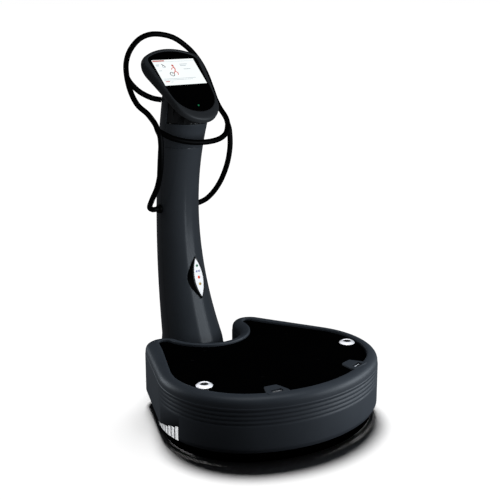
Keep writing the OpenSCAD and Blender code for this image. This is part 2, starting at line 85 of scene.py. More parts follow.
HOOP_SIDE = [
    (0, 585.5, 1560.5), (84, 569, 1545), (150, 549, 1500), (190, 524, 1446.5),
    (208.5, 492.5, 1388), (213, 458, 1327), (206.5, 418, 1276), (191.5, 367.5, 1242),
    (187.5, 319.5, 1205), (185.7, 303, 1178), (183.5, 288, 1149), (183.5, 284.5, 1082.5),
    (179.5, 298.5, 1007), (174, 333, 932), (170, 380, 872), (157, 422, 829), (132, 440, 812),
    (116, 440, 810), (104, 440, 810)]
CROSS_SIDE = [(0, 212, 1124), (60, 219, 1127), (110, 238, 1136), (150, 265, 1151), (185.7, 303, 1178)]
REAR_SIDE = [(82, 425, 1290), (122, 441, 1300), (166, 462, 1326), (196, 480, 1360), (208.5, 492.5, 1388)]
MOUNT_Z = (160.1, 209.5)
MOUNT_R = 22
MOUNT_PLACES = ((250, -400), (250, -10))
COLLAR_PLACE = (90.5, 440, 810)


# ---------------------------------------------------------------- outlines, as in the CAD
def direction(angle):
    return Vector((cos(radians(angle)), sin(radians(angle))))


def angle_of(v):
    return degrees(atan2(v.y, v.x))


def arc_run(centre, radius, a0, a1, n, side=1):
    """Pairs of point and outward normal along an arc; side is -1 where the arc curves inwards."""
    angles = [a0 + (a1 - a0) * i / n for i in range(n)]
    return [(centre + radius * direction(a), side * direction(a)) for a in angles]


def mirrored(half):
    other = [(Vector((-p.x, p.y)), Vector((-n.x, n.y))) for p, n in reversed(half) if abs(p.x) > 0.01]
    return half + other


def tangent_angle(c0, r0, c1, r1):
    return angle_of(c1 - c0) - degrees(acos((r0 - r1) / (c1 - c0).length))


def corner_centre():
    front_y = NOTCH_Y - OPEN_DEPTH + FRONT_R
    return Vector((CORNER_X, front_y - sqrt((FRONT_R - CORNER_R) ** 2 - CORNER_X ** 2)))


def deck_outline(n):
    front = Vector((0, NOTCH_Y - OPEN_DEPTH + FRONT_R))
    corner = corner_centre()
    notch = Vector((0, NOTCH_Y))
    lobe = Vector((LOBE_X, NOTCH_Y - sqrt((NOTCH_R + LOBE_R) ** 2 - LOBE_X ** 2)))
    turn = angle_of(corner - front)
    side = tangent_angle(corner, CORNER_R, lobe, LOBE_R)
    straight0 = corner + CORNER_R * direction(side)
    straight1 = lobe + LOBE_R * direction(side)
    straight = [(straight0.lerp(straight1, i / (n // 2)), direction(side)) for i in range(n // 2)]
    last = [(Vector((0, NOTCH_Y - NOTCH_R)), Vector((0, 1)))]
    return mirrored(
        arc_run(front, FRONT_R, -90, turn, n) + arc_run(corner, CORNER_R, turn, side, n)
        + straight + arc_run(lobe, LOBE_R, side, angle_of(notch - lobe), n)
        + arc_run(notch, NOTCH_R, angle_of(lobe - notch), -90, n, -1) + last)


def shield(shape, n):
    bottom_s, top_s, bottom_r, top_r, corner_r, corner_x = shape
    bottom = Vector((0, bottom_s + bottom_r))
    top = Vector((0, top_s - top_r))
    corner = Vector((corner_x, top.y + sqrt((top_r - corner_r) ** 2 - corner_x ** 2)))
    side = tangent_angle(bottom, bottom_r, corner, corner_r)
    turn = angle_of(corner - top)
    side0 = bottom + bottom_r * direction(side)
    side1 = corner + corner_r * direction(side)
    straight = [(side0.lerp(side1, i / (n // 2)), direction(side)) for i in range(n // 2)]
    return mirrored(arc_run(bottom, bottom_r, -90, side, n) + straight
                    + arc_run(corner, corner_r, side, turn, n) + arc_run(top, top_r, turn, 90, n)
                    + [(Vector((0, top_s)), Vector((0, 1)))])


def column_y(z):
    if z < FOOT_Z:
        return column_y(FOOT_Z) - (FOOT_Z - z) * 0.08
    return LEAN_Y - (0.00032 if z < LEAN_Z else 0.00034) * (z - LEAN_Z) ** 2


def column_h(z):
    return WAIST_H + 0.0001 * (z - WAIST_Z) ** 2


def column_point(z, angle, inset=0.0):
    """A point on the column's surface; angle 0 faces the user and grows towards +X."""
    half = column_h(z)
    return Vector(((0.92 * half - inset) * sin(radians(angle)),
                   column_y(z) - (1.09 * half - inset) * cos(radians(angle)), z))


def spline(points, n):
    """Catmull-Rom curve through the points, with n steps between each two."""
    p = [Vector(q) for q in points]
    out = []
    for i in range(len(p) - 1):
        a, b, c, d = p[max(i - 1, 0)], p[i], p[i + 1], p[min(i + 2, len(p) - 1)]
        for k in range(n):
            t = k / n
            out.append(0.5 * (2 * b + (c - a) * t + (2 * a - 5 * b + 4 * c - d) * t * t
                              + (3 * b - a - 3 * c + d) * t ** 3))
    return out + [p[-1]]


def both_sides(half):
    return [(-x, y, z) for x, y, z in reversed(half[1:])] + list(half)


# ---------------------------------------------------------------- placing
FACE = Matrix.Translation((0, FACE_Y, FACE_Z)) @ Matrix.Rotation(radians(FACE_TILT), 4, "X")
BACK = (FACE @ Matrix.Translation((0, BEZEL[0], -SHELL_DROP - 9))
        @ Matrix.Rotation(-atan2(SHELL_SLOPE, 1), 4, "X"))
POD = Matrix.Translation(POD_PLACE) @ Matrix.Rotation(radians(POD_TILT), 4, "X")
MIRROR = Matrix.Scale(-1, 4, (1, 0, 0))


def pocket_place(side):
    place = (Matrix.Translation((POCKET_PLACE[0], POCKET_PLACE[1], CROWN_H))
             @ Matrix.Rotation(radians(POCKET_TURN), 4, "Z"))
    return place if side > 0 else MIRROR @ place


# ---------------------------------------------------------------- mesh helpers
SHARP_ANGLE = radians(38)
FLAT_CORNERS = 8


def finish_mesh(bm, name, place=None, sharp=SHARP_ANGLE):
    """Turns a bmesh in millimetres into a smooth shaded object in metres."""
    if place is not None:
        bmesh.ops.transform(bm, matrix=place, verts=bm.verts)
    bmesh.ops.scale(bm, vec=(MM, MM, MM), verts=bm.verts)
    bmesh.ops.remove_doubles(bm, verts=bm.verts, dist=1e-6)
    bmesh.ops.dissolve_degenerate(bm, dist=1e-7, edges=bm.edges)
    bmesh.ops.recalc_face_normals(bm, faces=bm.faces)
    for face in bm.faces:
        face.smooth = len(face.verts) <= FLAT_CORNERS
    for edge in bm.edges:
        if len(edge.link_faces) == 2:
            edge.smooth = edge.calc_face_angle(0) < sharp
    mesh = bpy.data.meshes.new(name)
    bm.to_mesh(mesh)
    bm.free()
    obj = bpy.data.objects.new(name, mesh)
    bpy.context.scene.collection.objects.link(obj)
    return obj


def add_skin(bm, rings, loop=False, caps=True):
    """Adds a surface through equal closed rings of points; loop joins the last to the first."""
    rows = [[bm.verts.new(p) for p in ring] for ring in rings]
    n = len(rows[0])
    for j in range(len(rows) if loop else len(rows) - 1):
        a, b = rows[j], rows[(j + 1) % len(rows)]
        for i in range(n):
            bm.faces.new((a[i], a[(i + 1) % n], b[(i + 1) % n], b[i]))
    if caps and not loop:
        bm.faces.new(list(reversed(rows[0])))
        bm.faces.new(rows[-1])


def skin(name, rings, loop=False, place=None, caps=True, sharp=SHARP_ANGLE):
    bm = bmesh.new()
    add_skin(bm, rings, loop, caps)
    return finish_mesh(bm, name, place, sharp)


def add_tube(bm, path, radius, n=24, caps=True):
    """Adds a round tube along a path; radius is a number or a function of the share of the path."""
    rings = []
    last = len(path) - 1
    side = None
    for i, p in enumerate(path):
        along = (path[min(i + 1, last)] - path[max(i - 1, 0)]).normalized()
        if side is None:
            side = along.orthogonal().normalized()
        side = (side - along * side.dot(along)).normalized()
        up = along.cross(side)
        r = radius(i / last) if callable(radius) else radius
        rings.append([p + r * (cos(2 * pi * k / n) * side + sin(2 * pi * k / n) * up) for k in range(n)])
    add_skin(bm, rings, caps=caps)


def add_prism(bm, outline, z0, z1, bevel=0.0, steps=3):
    """Adds an extruded outline of point and normal pairs, with its top edge rounded by bevel."""
    rings = [[(p.x, p.y, z0) for p, _ in outline]]
    for k in range(steps + 1):
        t = pi / 2 * k / steps
        inset, drop = bevel * (1 - cos(t)), bevel * (1 - sin(t))
        rings.append([((p - n * inset).x, (p - n * inset).y, z1 - drop) for p, n in outline])
    add_skin(bm, rings)


def add_lathe(bm, profile, n=48, centre=(0, 0, 0), loop=False):
    """Adds a solid of revolution about Z from (radius, height) pairs, bottom first; loop makes a ring."""
    c = Vector(centre)
    rings = [[c + Vector((r * cos(2 * pi * k / n), r * sin(2 * pi * k / n), z)) for k in range(n)]
             for r, z in profile]
    add_skin(bm, rings, loop=loop)


def add_box(bm, low, high, bevel=0.0):
    low, high = Vector(low), Vector(high)
    made = bmesh.ops.create_cube(bm, size=1.0)["verts"]
    for v in made:
        v.co = Vector([low[i] + (v.co[i] + 0.5) * (high[i] - low[i]) for i in range(3)])
    if bevel:
        edges = {e for v in made for e in v.link_edges}
        bmesh.ops.bevel(bm, geom=list(edges), offset=bevel, segments=3, affect="EDGES", profile=0.5)


def rounded_rect(x0, x1, y0, y1, r, n=6):
    runs = []
    for (cx, cy), start in (((x1 - r, y0 + r), -90), ((x1 - r, y1 - r), 0),
                            ((x0 + r, y1 - r), 90), ((x0 + r, y0 + r), 180)):
        runs += arc_run(Vector((cx, cy)), r, start, start + 90, n) + [
            (Vector((cx, cy)) + r * direction(start + 90), direction(start + 90))]
    return runs


def lens_outline(length, width, n=24, tip=3.0):
    """Two equal arcs that meet in rounded tips, with their normals."""
    radius = (length ** 2 + width ** 2) / (4 * width)
    half = degrees(acos((radius - width / 2 + tip * 0.15) / radius))
    right = arc_run(Vector((width / 2 - radius, 0)), radius, -half, half, n)
    left = arc_run(Vector((radius - width / 2, 0)), radius, 180 - half, 180 + half, n)
    return right + left


def cut(obj, cutters):
    """Subtracts closed cutter objects from obj and applies the result."""
    for cutter in cutters:
        mod = obj.modifiers.new("cut", "BOOLEAN")
        mod.operation = "DIFFERENCE"
        mod.solver = "EXACT"
        mod.object = cutter
    graph = bpy.context.evaluated_depsgraph_get()
    graph.update()
    made = bpy.data.meshes.new_from_object(obj.evaluated_get(graph))
    obj.modifiers.clear()
    obj.data = made
    for face in made.polygons:
        if face.loop_total > FLAT_CORNERS:
            face.use_smooth = False
    for cutter in cutters:
        bpy.data.objects.remove(cutter)
    return obj


# ---------------------------------------------------------------- materials
def node_tree(name):
    mat = bpy.data.materials.new(name)
    mat.use_nodes = True
    tree = mat.node_tree
    tree.nodes.clear()
    out = tree.nodes.new("ShaderNodeOutputMaterial")
    shader = tree.nodes.new("ShaderNodeBsdfPrincipled")
    tree.links.new(shader.outputs[0], out.inputs[0])
    return mat, tree, shader


def noise(tree, scale, detail=4.0, coords=None, rough=0.55):
    node = tree.nodes.new("ShaderNodeTexNoise")
    node.inputs["Scale"].default_value = scale
    node.inputs["Detail"].default_value = detail
    node.inputs["Roughness"].default_value = rough
    place = coords or tree.nodes.new("ShaderNodeTexCoord").outputs["Object"]
    tree.links.new(place, node.inputs["Vector"])
    return node.outputs["Fac"]


def ranged(tree, value, low, high):
    """Maps 0..1 to low..high."""
    node = tree.nodes.new("ShaderNodeMapRange")
    node.inputs["To Min"].default_value = low
    node.inputs["To Max"].default_value = high
    tree.links.new(value, node.inputs["Value"])
    return node.outputs["Result"]


def tinted(tree, shader, colour, value, spread):
    """Base colour that drifts between a darker and a lighter tone."""
    mix = tree.nodes.new("ShaderNodeMix")
    mix.data_type = "RGBA"
    mix.inputs["A"].default_value = (*[c * (1 - spread) for c in colour], 1)
    mix.inputs["B"].default_value = (*[min(1, c * (1 + spread)) for c in colour], 1)
    tree.links.new(value, mix.inputs["Factor"])
    tree.links.new(mix.outputs["Result"], shader.inputs["Base Color"])
    return mix


def bumped(tree, shader, value, strength, distance):
    bump = tree.nodes.new("ShaderNodeBump")
    bump.inputs["Strength"].default_value = strength
    bump.inputs["Distance"].default_value = distance
    tree.links.new(value, bump.inputs["Height"])
    tree.links.new(bump.outputs["Normal"], shader.inputs["Normal"])


def moulded(name, colour, rough, grain=900.0, depth=0.25, spread=0.12, specular=0.5, coat=0.0,
            coat_rough=0.05):
    """Moulded plastic: slight colour drift, uneven gloss and a fine spark-eroded grain."""
    mat, tree, shader = node_tree(name)
    cloud = noise(tree, 6.0)
    tinted(tree, shader, colour, cloud, spread)
    shader.inputs["Specular IOR Level"].default_value = specular
    tree.links.new(ranged(tree, noise(tree, 14.0), rough * 0.85, rough * 1.15), shader.inputs["Roughness"])
    shader.inputs["Coat Weight"].default_value = coat
    shader.inputs["Coat Roughness"].default_value = coat_rough
    bumped(tree, shader, noise(tree, grain, 2.0), depth, 0.00012)
    return mat


def painted(name, colour, rough, peel=260.0, depth=0.18, specular=0.5):
    """Powder coat: orange peel and slight gloss changes."""
    mat, tree, shader = node_tree(name)
    tinted(tree, shader, colour, noise(tree, 9.0), 0.15)
    shader.inputs["Specular IOR Level"].default_value = specular
    tree.links.new(ranged(tree, noise(tree, 22.0), rough * 0.85, rough * 1.15), shader.inputs["Roughness"])
    bumped(tree, shader, noise(tree, peel, 3.0), depth, 0.0002)
    return mat


def metal(name, colour, rough, stretch=(1, 1, 40)):
    """Brushed or turned metal: long fine scratches."""
    mat, tree, shader = node_tree(name)
    coords = tree.nodes.new("ShaderNodeTexCoord")
    scaled = tree.nodes.new("ShaderNodeMapping")
    scaled.inputs["Scale"].default_value = stretch
    tree.links.new(coords.outputs["Object"], scaled.inputs["Vector"])
    streak = noise(tree, 30.0, 5.0, scaled.outputs["Vector"])
    tinted(tree, shader, colour, streak, 0.08)
    shader.inputs["Metallic"].default_value = 1.0
    tree.links.new(ranged(tree, streak, rough * 0.7, rough * 1.4), shader.inputs["Roughness"])
    bumped(tree, shader, streak, 0.12, 0.0001)
    return mat


def rubber(name, colour, rough=0.75):
    mat, tree, shader = node_tree(name)
    tinted(tree, shader, colour, noise(tree, 30.0), 0.25)
    shader.inputs["Specular IOR Level"].default_value = 0.25
    shader.inputs["Roughness"].default_value = rough
    bumped(tree, shader, noise(tree, 1400.0, 2.0), 0.35, 0.0002)
    return mat


def ribbed_mat(name):
    """Platform rubber: fine ribs that run front to back, with a soft dusty drift."""
    mat, tree, shader = node_tree(name)
    tinted(tree, shader, (0.0012, 0.0012, 0.0013), noise(tree, 4.0), 0.4)
    shader.inputs["Specular IOR Level"].default_value = 0.0
    shader.inputs["Roughness"].default_value = 0.8
    coords = tree.nodes.new("ShaderNodeTexCoord")
    wave = tree.nodes.new("ShaderNodeTexWave")
    wave.wave_type = "BANDS"
    wave.bands_direction = "X"
    wave.inputs["Scale"].default_value = 52.0
    tree.links.new(coords.outputs["Object"], wave.inputs["Vector"])
    bumped(tree, shader, wave.outputs["Fac"], 0.5, 0.0006)
    return mat


def glowing(name, colour, strength, spread=0.05, scale=8.0):
    """A lit screen area, slightly uneven like a real backlight."""
    mat, tree, shader = node_tree(name)
    mix = tinted(tree, shader, colour, noise(tree, scale), spread)
    tree.links.new(mix.outputs["Result"], shader.inputs["Emission Color"])
    shader.inputs["Emission Strength"].default_value = strength
    shader.inputs["Roughness"].default_value = 0.25
    return mat


def circuit(name):
    mat, tree, shader = node_tree(name)
    coords = tree.nodes.new("ShaderNodeTexCoord")
    bricks = tree.nodes.new("ShaderNodeTexBrick")
    bricks.inputs["Scale"].default_value = 60.0
    bricks.inputs["Color1"].default_value = (0.01, 0.09, 0.035, 1)
    bricks.inputs["Color2"].default_value = (0.015, 0.12, 0.05, 1)
    bricks.inputs["Mortar"].default_value = (0.25, 0.2, 0.06, 1)
    tree.links.new(coords.outputs["Object"], bricks.inputs["Vector"])
    tree.links.new(bricks.outputs["Color"], shader.inputs["Base Color"])
    shader.inputs["Roughness"].default_value = 0.4
    return mat


SHROUD = moulded("shroud_plastic", (0.072, 0.081, 0.094), 0.46, grain=1500, depth=0.22, specular=0.35)
COLUMN = moulded("column_plastic", (0.085, 0.094, 0.106), 0.24, grain=700, depth=0.05, specular=0.34)
NECK = moulded("neck_plastic", (0.022, 0.0225, 0.023), 0.12, grain=700, depth=0.04)
POD_BLACK = moulded("pod_plastic", (0.003, 0.003, 0.0035), 0.28, depth=0.1, specular=0.35)
FASCIA = moulded("fascia_plastic", (0.80, 0.81, 0.83), 0.3, depth=0.05, spread=0.03)
CONSOLE = moulded("console_plastic", (0.075, 0.079, 0.083), 0.4, grain=1500, depth=0.2, specular=0.4)
GLASS_BLACK = moulded("console_gloss", (0.0012, 0.0012, 0.0014), 0.06, depth=0.0, spread=0.3,
                      specular=0.25)
HANDLE = painted("handle_paint", (0.0008, 0.0008, 0.0009), 0.5, specular=0.1)
GRILLE = moulded("grille_plastic", (0.78, 0.79, 0.80), 0.4, depth=0.1, spread=0.04)
SILVER = moulded("outlet_silver", (0.82, 0.82, 0.85), 0.16, depth=0.05, spread=0.04, coat=0.6)
DARK = moulded("dark_plastic", (0.004, 0.004, 0.0045), 0.45, depth=0.2, specular=0.3)
MAT_RUBBER = ribbed_mat("mat_rubber")
# Black plastic of the plinth skirt, made darker and more matte than the other black parts as painted shade
# for the shadow under the shroud; the deck screws use it too
BLACK_AND_PAINTED_SHADE = moulded("plinth_plastic", (0.0012, 0.0012, 0.0013), 0.7, depth=0.3, specular=0.04)
RUBBER = rubber("foot_rubber", (0.006, 0.006, 0.006))
STEEL = metal("zinc_steel", (0.62, 0.62, 0.64), 0.28)
BLACK_STEEL = painted("black_steel", (0.012, 0.012, 0.013), 0.45)
ALUMINIUM = metal("drive_aluminium", (0.7, 0.7, 0.72), 0.35, stretch=(1, 20, 1))
MOTOR = painted("motor_paint", (0.05, 0.07, 0.10), 0.42)
BOARD = circuit("circuit_board")
KEY_GREEN = moulded("key_green", (0.010, 0.16, 0.065), 0.35, depth=0.05)
KEY_BLUE = moulded("key_blue", (0.10, 0.10, 0.30), 0.35, depth=0.05)
KEY_RED = moulded("key_red", (0.78, 0.07, 0.03), 0.35, depth=0.05)
KEY_YELLOW = moulded("key_yellow", (0.45, 0.30, 0.05), 0.35, depth=0.05)
SCREEN = glowing("screen_white", (0.86, 0.89, 0.875), 0.93, 0.08, 3.0)
SCREEN_RED = glowing("screen_red", (0.75, 0.09, 0.06), 0.5)
SCREEN_GREY = glowing("screen_grey", (0.45, 0.52, 0.58), 0.45)
SCREEN_DARK = glowing("screen_dark", (0.05, 0.06, 0.07), 0.2)


def dress(obj, material, body, slot, *nodes):
    """Gives a piece its material and body, and hides the CAD nodes it stands for; slot is not used."""
    obj.data.materials.clear()
    obj.data.materials.append(material)
    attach(obj, body)
    if nodes:
        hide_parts(*nodes)
    return obj


# ---------------------------------------------------------------- shroud
def smooth_step(t):
    t = max(0.0, min(1.0, t))
    return t * t * (3 - 2 * t)


def groove_fade(p):
    return smooth_step((-60 - p.y) / 160)


def shroud_section():
    """(outward offset, height, groove share) round the section, outside first."""
    wall = 3.0
    section = [(RIM_W - 6, SKIRT_H, 0), (RIM_W - 5, SKIRT_H + 1.5, 0), (RIM_W - 1.2, SKIRT_H + 12, 0),
               (RIM_W - 0.3, SKIRT_H + 15.5, 0), (RIM_W, SKIRT_H + 19, 0)]
    for i in reversed(range(4)):
        z = CROWN_H - 59 - i * 17.3
        for dz, share in ((-8.5, 0), (-6, 0.04), (-3, 0.3), (0, 0.72), (2.4, 1), (3.6, 0.95),
                          (4.4, 0.5), (5.0, 0.12), (5.8, 0)):
            section.append((RIM_W, z + dz, share))
    crown = [(RIM_W, CROWN_H - 47), (RIM_W - 0.2, CROWN_H - 45.4), (RIM_W - 1.1, CROWN_H - 44.6),
             (RIM_W - 1.2, CROWN_H - 43), (RIM_W - 1.4, CROWN_H - 37), (RIM_W - 1.8, CROWN_H - 31),
             (RIM_W - 2.6, CROWN_H - 25.5), (RIM_W - 4.2, CROWN_H - 20.4),
             (RIM_W - 6.9, CROWN_H - 15.4), (RIM_W - 10.4, CROWN_H - 11.1),
             (RIM_W - 14.6, CROWN_H - 7.7), (RIM_W - 19.5, CROWN_H - 4.9), (RIM_W - 25, CROWN_H - 2.9),
             (RIM_W - 31, CROWN_H - 1.4), (RIM_W - 37, CROWN_H - 0.5), (5.5, CROWN_H - 0.1),
             (3.2, CROWN_H - 0.5), (1.4, CROWN_H - 1.6), (0.4, CROWN_H - 3.4), (0, CROWN_H - 6),
             (0, CROWN_H - 24), (wall, CROWN_H - 24), (wall, CROWN_H - 6), (RIM_W - 33, CROWN_H - 5),
             (RIM_W - 15, CROWN_H - 13), (RIM_W - 7, CROWN_H - 30), (RIM_W - 6.5, CROWN_H - 50),
             (RIM_W - 6.5, SKIRT_H + 19), (RIM_W - 6 - wall, SKIRT_H)]
    section += [(offset, z, 0) for offset, z in crown]
    return section


def side_in(p, n):
    """How far the rim's inner edge moves in beside the rear lobes."""
    outward = max(0.0, n.x if p.x > 0 else -n.x)
    return SIDE_EXTRA * outward * max(0.0, min(1.0, (p.y + 150) / 300))


def shroud():
    section = shroud_section()
    rings = []
    for p, n in deck_outline(44):
        fade = groove_fade(p)
        ring = []
        for off, z, share in section:
            q = p + (off - share * GROOVE_D * fade - side_in(p, n) * max(0.0, 1 - off / 36)) * n
            ring.append((q.x, q.y, z))
        rings.append(ring)
    made = skin("shroud_shell", rings, loop=True, sharp=radians(50))
    cutters = []
    for side in (1, -1):
        cutters.append(grille_wedge("grille_cutter", -12, 12, SKIRT_H - 5, 1.0, side))
        cutters.append(pocket_cutter(side))
    cut(made, cutters)
    return dress(made, SHROUD, "base", "shroud_plastic", "base_shroud")


def side_place(side):
    return None if side > 0 else MIRROR


def grille_wedge(name, inner, outer, low, extra, side):
    """The wedge-shaped window low on the front corner, between two offsets from the grille's face."""
    centre = corner_centre()
    face = CORNER_R + RIM_W - 5
    rings = []
    for k in range(25):
        angle = GRILLE_TURN - extra / 6 + (GRILLE_SPAN + extra / 3) * k / 24
        top = grille_height(k / 24) + extra
        ring = []
        for r, z in ((face + outer, low), (face + outer, top), (face + inner, top), (face + inner, low)):
            q = centre + r * direction(angle)
            ring.append((q.x, q.y, z))
        rings.append(ring)
    return skin(name, rings, place=side_place(side))


def grille_height(share):
    """Height of the window's sloping top edge, from its front end to its rear end."""
    arc = (CORNER_R + RIM_W) * sin(radians(GRILLE_SPAN * share))
    return GRILLE_TOP - arc * sin(radians(GRILLE_SLOPE)) / cos(radians(GRILLE_SLOPE))


def pocket_outline(extra=0.0, r=7.0):
    """Tongue of the rim seen from above, with rounded inner corners."""
    corners = [(-47, -16), (47, -16), (47, 0), (27, 60), (-27, 60), (-47, 0)]
    return rounded_polygon([(x + (extra if x > 0 else -extra), y + (extra if y > 0 else -extra))
                            for x, y in corners], r)


def rounded_polygon(corners, r, n=6):
    """Point and normal pairs round a convex polygon with its corners rounded."""
    runs = []
    count = len(corners)
    for i in range(count):
        a, b, c = (Vector(corners[(i + k) % count]) for k in (-1, 0, 1))
        d0, d1 = (b - a).normalized(), (c - b).normalized()
        n0, n1 = Vector((d0.y, -d0.x)), Vector((d1.y, -d1.x))
        half = (n0 + n1).normalized()
        centre = b - half * (r / half.dot(n0))
        a0, a1 = angle_of(n0), angle_of(n1)
        if a1 < a0:
            a1 += 360
        runs += arc_run(centre, r, a0, a1, n) + [(centre + r * direction(a1), direction(a1))]
    return runs


def pocket_cutter(side):
    bm = bmesh.new()
    add_prism(bm, pocket_outline(0.3), -40, 20)
    return finish_mesh(bm, "pocket_cutter", pocket_place(side))


def strap_pocket(side, name):
    bm = bmesh.new()
    add_prism(bm, pocket_outline(), -8, 0.5, bevel=3.0, steps=5)
    made = finish_mesh(bm, "pocket_" + name, pocket_place(side))
    bm = bmesh.new()
    add_prism(bm, rounded_rect(-24, 24, -9, 17, 4), -20, 8)
    slot_cutter = finish_mesh(bm, "slot_cutter", pocket_place(side))
    cut(made, [slot_cutter])
    return dress(made, SHROUD, "base", "shroud_plastic", "strap_pocket_" + name)


def vent_grille(side, name):
    """White louvre slats in columns, on dark ribs, in the wedge window."""
    centre = corner_centre()
    face = CORNER_R + RIM_W - 5
    pitch = GRILLE_SPAN / GRILLE_COLUMNS
    slats = bmesh.new()
    ribs = bmesh.new()

    def sector(bm, a0, a1, r0, r1, z0, z1, steps=4):
        rings = []
        for k in range(steps + 1):
            d = direction(a0 + (a1 - a0) * k / steps)
            ring = [centre + r * d for r in (r1, r1, r0, r0)]
            rings.append([(q.x, q.y, z) for q, z in zip(ring, (z0, z1, z1, z0))])
        add_skin(bm, rings)

    for i in range(GRILLE_COLUMNS):
        a0 = GRILLE_TURN + i * pitch
        top = grille_height((i + 1) / GRILLE_COLUMNS)
        front_top = grille_height((i + 0.5) / GRILLE_COLUMNS)
        z = SKIRT_H + 2.5
        while z + 3.2 < front_top - 1:
            sector(slats, a0 + pitch * 0.24, a0 + pitch * 0.94, face + 0.6, face + 2.4, z, z + 3.6)
            z += 5.2
        sector(ribs, a0 - pitch * 0.04, a0 + pitch * 0.2, face - 1.5, face + 2.0, SKIRT_H + 2, top)
    sector(ribs, GRILLE_TURN, GRILLE_TURN + GRILLE_SPAN, face - 3.0, face - 1.5, SKIRT_H + 2,
           grille_height(1) - 1, 20)
    white = finish_mesh(slats, "grille_slats_" + name, side_place(side))
    dark = finish_mesh(ribs, "grille_ribs_" + name, side_place(side))
    dress(white, GRILLE, "base", "grille_plastic", "vent_grille_" + name)
    dress(dark, DARK, "base", "black_plastic")


# ---------------------------------------------------------------- platform
def platform_mat():
    bm = bmesh.new()
    outline = [(p - (5 + side_in(p, n)) * n, n) for p, n in deck_outline(40)]
    add_prism(bm, outline, DECK_H - 10.8, DECK_H, bevel=2.0, steps=4)
    made = finish_mesh(bm, "mat", sharp=radians(50))
    cutters = []
    for side in (1, -1):
        bm = bmesh.new()
        add_lathe(bm, [(28, -30), (28, 10)], 64,
                  (side * OUTLET_PLACE[0], OUTLET_PLACE[1], DECK_H))
        cutters.append(finish_mesh(bm, "hole"))
        bm = bmesh.new()
        add_prism(bm, pocket_outline(1.0), -40, 20)
        cutters.append(finish_mesh(bm, "notch", pocket_place(side)))
        for x, y in ((150, -340), (150, 40), (260, -20)):
            bm = bmesh.new()
            add_lathe(bm, [(9, -3), (9, 4)], 40, (side * x, y, DECK_H))
            cutters.append(finish_mesh(bm, "counterbore"))
    cut(made, cutters)
    return dress(made, MAT_RUBBER, "platform", "mat_rubber", "platform_mat")


def rubber_mounts():
    """Bonded blocks, waisted, that stand between the base and the platform."""
    bm = bmesh.new()
    low, high = MOUNT_Z
    levels = [low, low + 0.6] + [low + (high - low) * k / 12 for k in range(1, 12)] + [high - 0.6, high]
    profile = [(0.2, low)]
    for z in levels:
        waist = 2.2 * sin(pi * (z - low) / (high - low))
        round_off = 0.6 if z in (low, high) else 0.0
        profile.append((MOUNT_R - waist - round_off, z))
    profile.append((0.2, high))
    for x, y in MOUNT_PLACES:
        for side in (1, -1):
            add_lathe(bm, profile, 48, (side * x, y, 0))
    made = finish_mesh(bm, "rubber_mounts", sharp=radians(60))
    made.data.materials.clear()
    made.data.materials.append(RUBBER)
    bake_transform(made)
    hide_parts("isolator_rubbers")


def outlet(side, name):
    place = Matrix.Translation((side * OUTLET_PLACE[0], OUTLET_PLACE[1], DECK_H))
    bm = bmesh.new()
    r = TURRET_R
    add_lathe(bm, [(r + 0.1, -18), (27.4, -18), (27.4, 0.2), (OUTLET_R - 0.5, 0.2), (OUTLET_R, 0.8),
                   (OUTLET_R - 0.3, 1.8), (OUTLET_R - 2, 3.8), (OUTLET_R - 5, 6.2), (25.5, 8.2),
                   (22.5, 9.3), (20, 9.6), (r + 1, 9.0), (r + 0.2, 7.4), (r + 0.1, 4)], 72, loop=True)
    ring = finish_mesh(bm, "outlet_ring_" + name, place, sharp=radians(60))
    dress(ring, SILVER, "platform", "outlet_silver", "outlet_bezel_" + name)

    bm = bmesh.new()
    add_lathe(bm, [(0.2, -20), (r - 0.1, -20), (r - 0.1, 4.5), (r - 0.8, 6.4), (r - 2.4, 7.8),
                   (r - 6, 8.5), (0.2, 8.5)], 64)
    dome = finish_mesh(bm, "turret_dome_" + name, place, sharp=radians(50))
    bm = bmesh.new()
    add_prism(bm, rounded_rect(-3.6, 3.6, -12.5, 12.5, 3.4), -6, 14)
    cut(dome, [finish_mesh(bm, "turret_slot", place)])
    dress(dome, DARK, "outlet_turret_" + name, "black_plastic", "outlet_turret_" + name)

    bm = bmesh.new()
    for y in (-8.6, 8.6):
        add_tube(bm, [Vector((-3.4, y, 2.6)), Vector((3.4, y, 2.6))], 3.4, 20)
    rollers = finish_mesh(bm, "turret_rollers_" + name, place)
    dress(rollers, STEEL, "outlet_turret_" + name, "zinc_steel")


# ---------------------------------------------------------------- column
def cover(name, z0, z1, a0, a1, inset=0.0, rows=90, columns=64, wall=3.0, edge=0.9):
    """A column cover: a C-shaped shell whose outer edges are softly rounded."""
    heights = [z0, z0 + 0.25 * edge, z0 + edge]
    heights += [z0 + edge + (z1 - z0 - 2 * edge) * j / rows for j in range(1, rows)]
    heights += [z1 - edge, z1 - 0.25 * edge, z1]

    def soft(distance):
        """How far the surface falls away near an edge."""
        t = max(0.0, 1 - distance / edge)
        return edge * (1 - sqrt(max(0.0, 1 - t * t)))

    rings = []
    for z in heights:
        end = soft(min(z - z0, z1 - z))
        turn = edge / (0.0175 * column_h(z))
        spread = [0, 0.25 * turn, turn]
        angles = [a0 + s for s in spread]
        angles += [a0 + turn + (a1 - a0 - 2 * turn) * i / columns for i in range(1, columns)]
        angles += [a1 - s for s in reversed(spread)]
        outer = [column_point(z, a, inset + max(end, soft(min(a - a0, a1 - a) / turn * edge)))
                 for a in angles]
        inner = [column_point(z, a, inset + wall) for a in reversed(angles)]
        rings.append(outer + inner)
    return skin(name, rings, sharp=radians(45))


def console_cutter():
    """Everything above the console's slanting back."""
    bm = bmesh.new()
    add_box(bm, (-260, -300, 0), (260, 700, 500))
    return finish_mesh(bm, "above_console", BACK)


